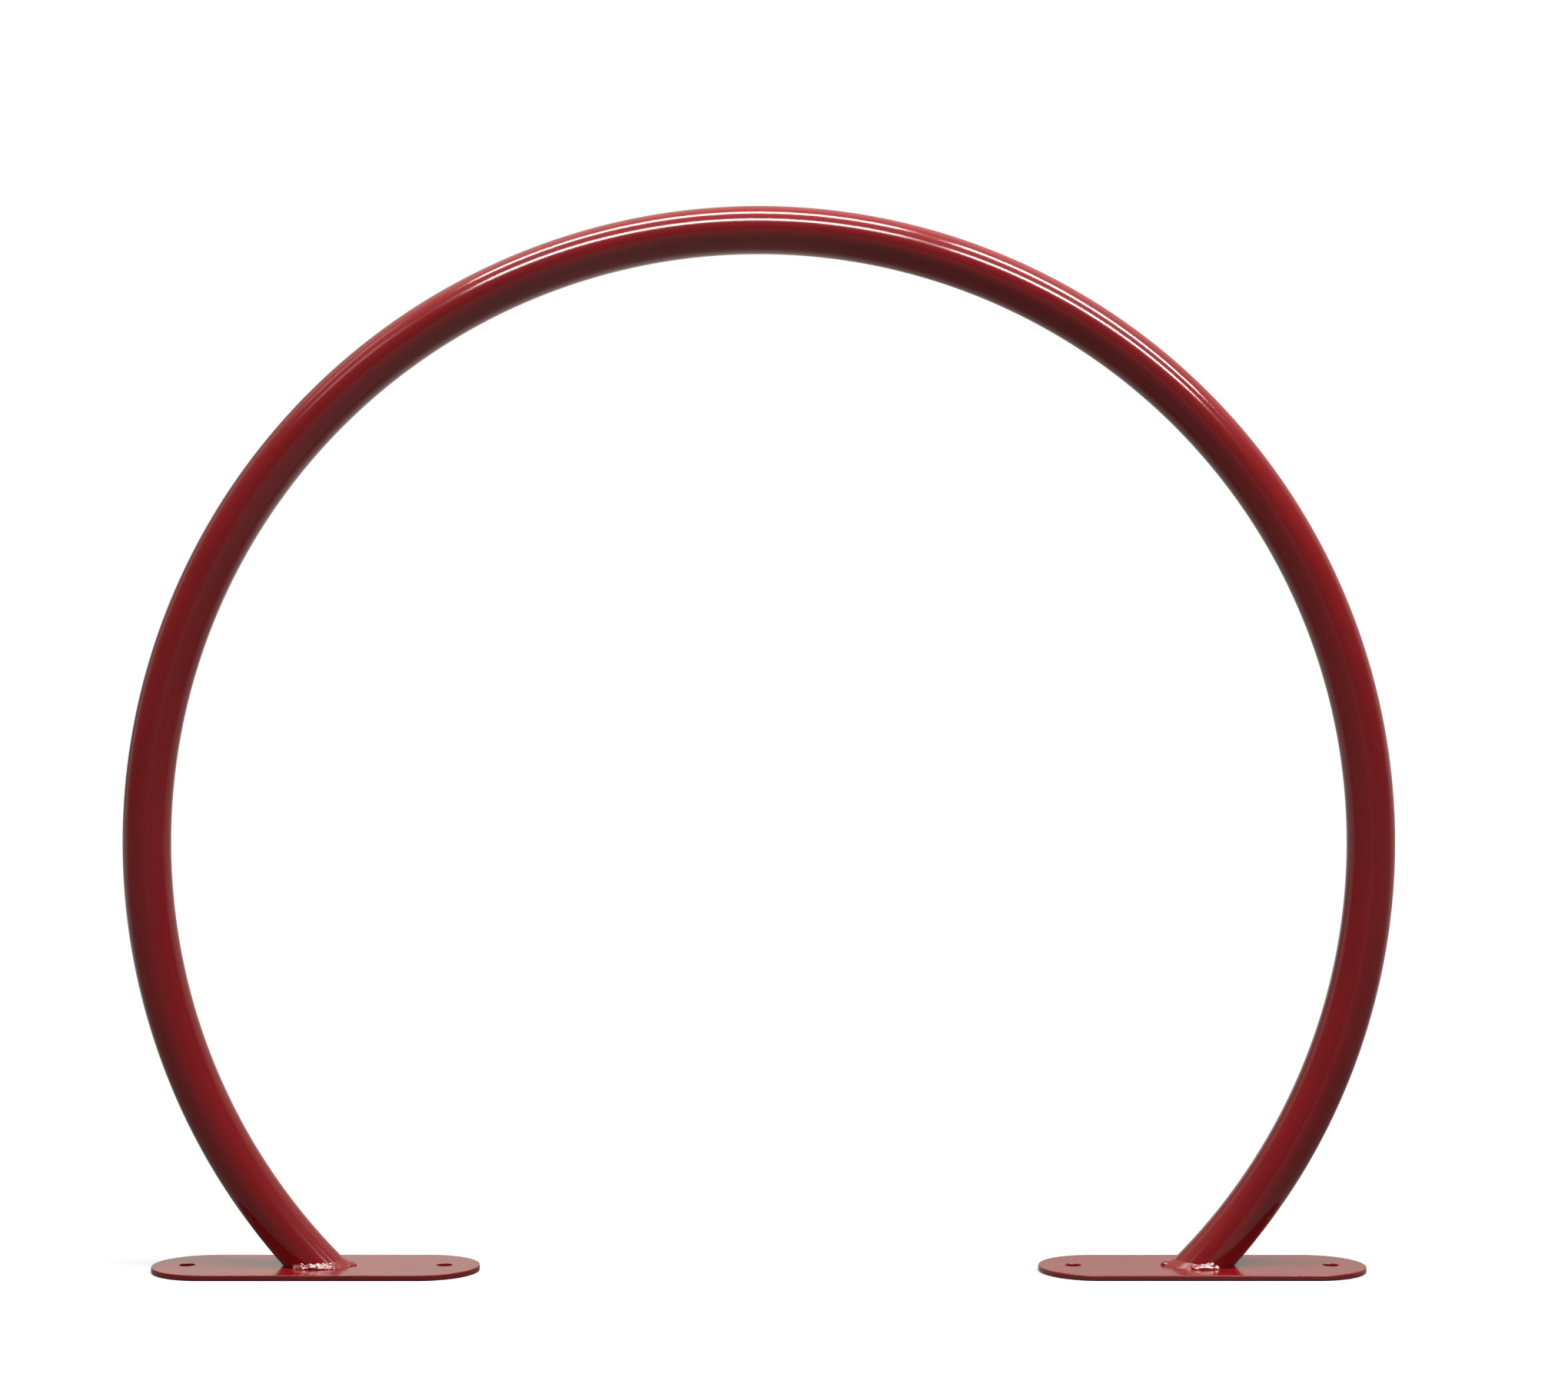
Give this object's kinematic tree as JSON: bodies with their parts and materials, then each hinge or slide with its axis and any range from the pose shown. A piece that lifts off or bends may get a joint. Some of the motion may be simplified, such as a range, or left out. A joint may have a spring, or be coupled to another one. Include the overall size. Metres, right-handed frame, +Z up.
{
  "type": "hoop bike rack",
  "caption": "Ground-mounted bike rack: a round tube bent into most of a circle, standing in one plane on flat base plates with full-round ends and anchor holes, and painted glossy red.",
  "frame": {"origin": "on the ground, midway between the two base plates and in the hoop's plane", "axes": "+X along the rack from one foot to the other, +Y square to the hoop's plane, +Z up"},
  "size_m": [1.1262, 0.1, 0.9421],
  "materials": {
    "tube_paint": "glossy red enamel on rolled steel tube",
    "plate_paint": "glossy red enamel on flat steel plate",
    "weld_paint": "glossy red enamel over a rippled weld bead"
  },
  "bodies": {
    "root": {"hoop_tube": "tube_paint", "base_plate_left": "plate_paint", "base_plate_right": "plate_paint", "weld_left": "weld_paint", "weld_right": "weld_paint"}
  },
  "joints": []
}
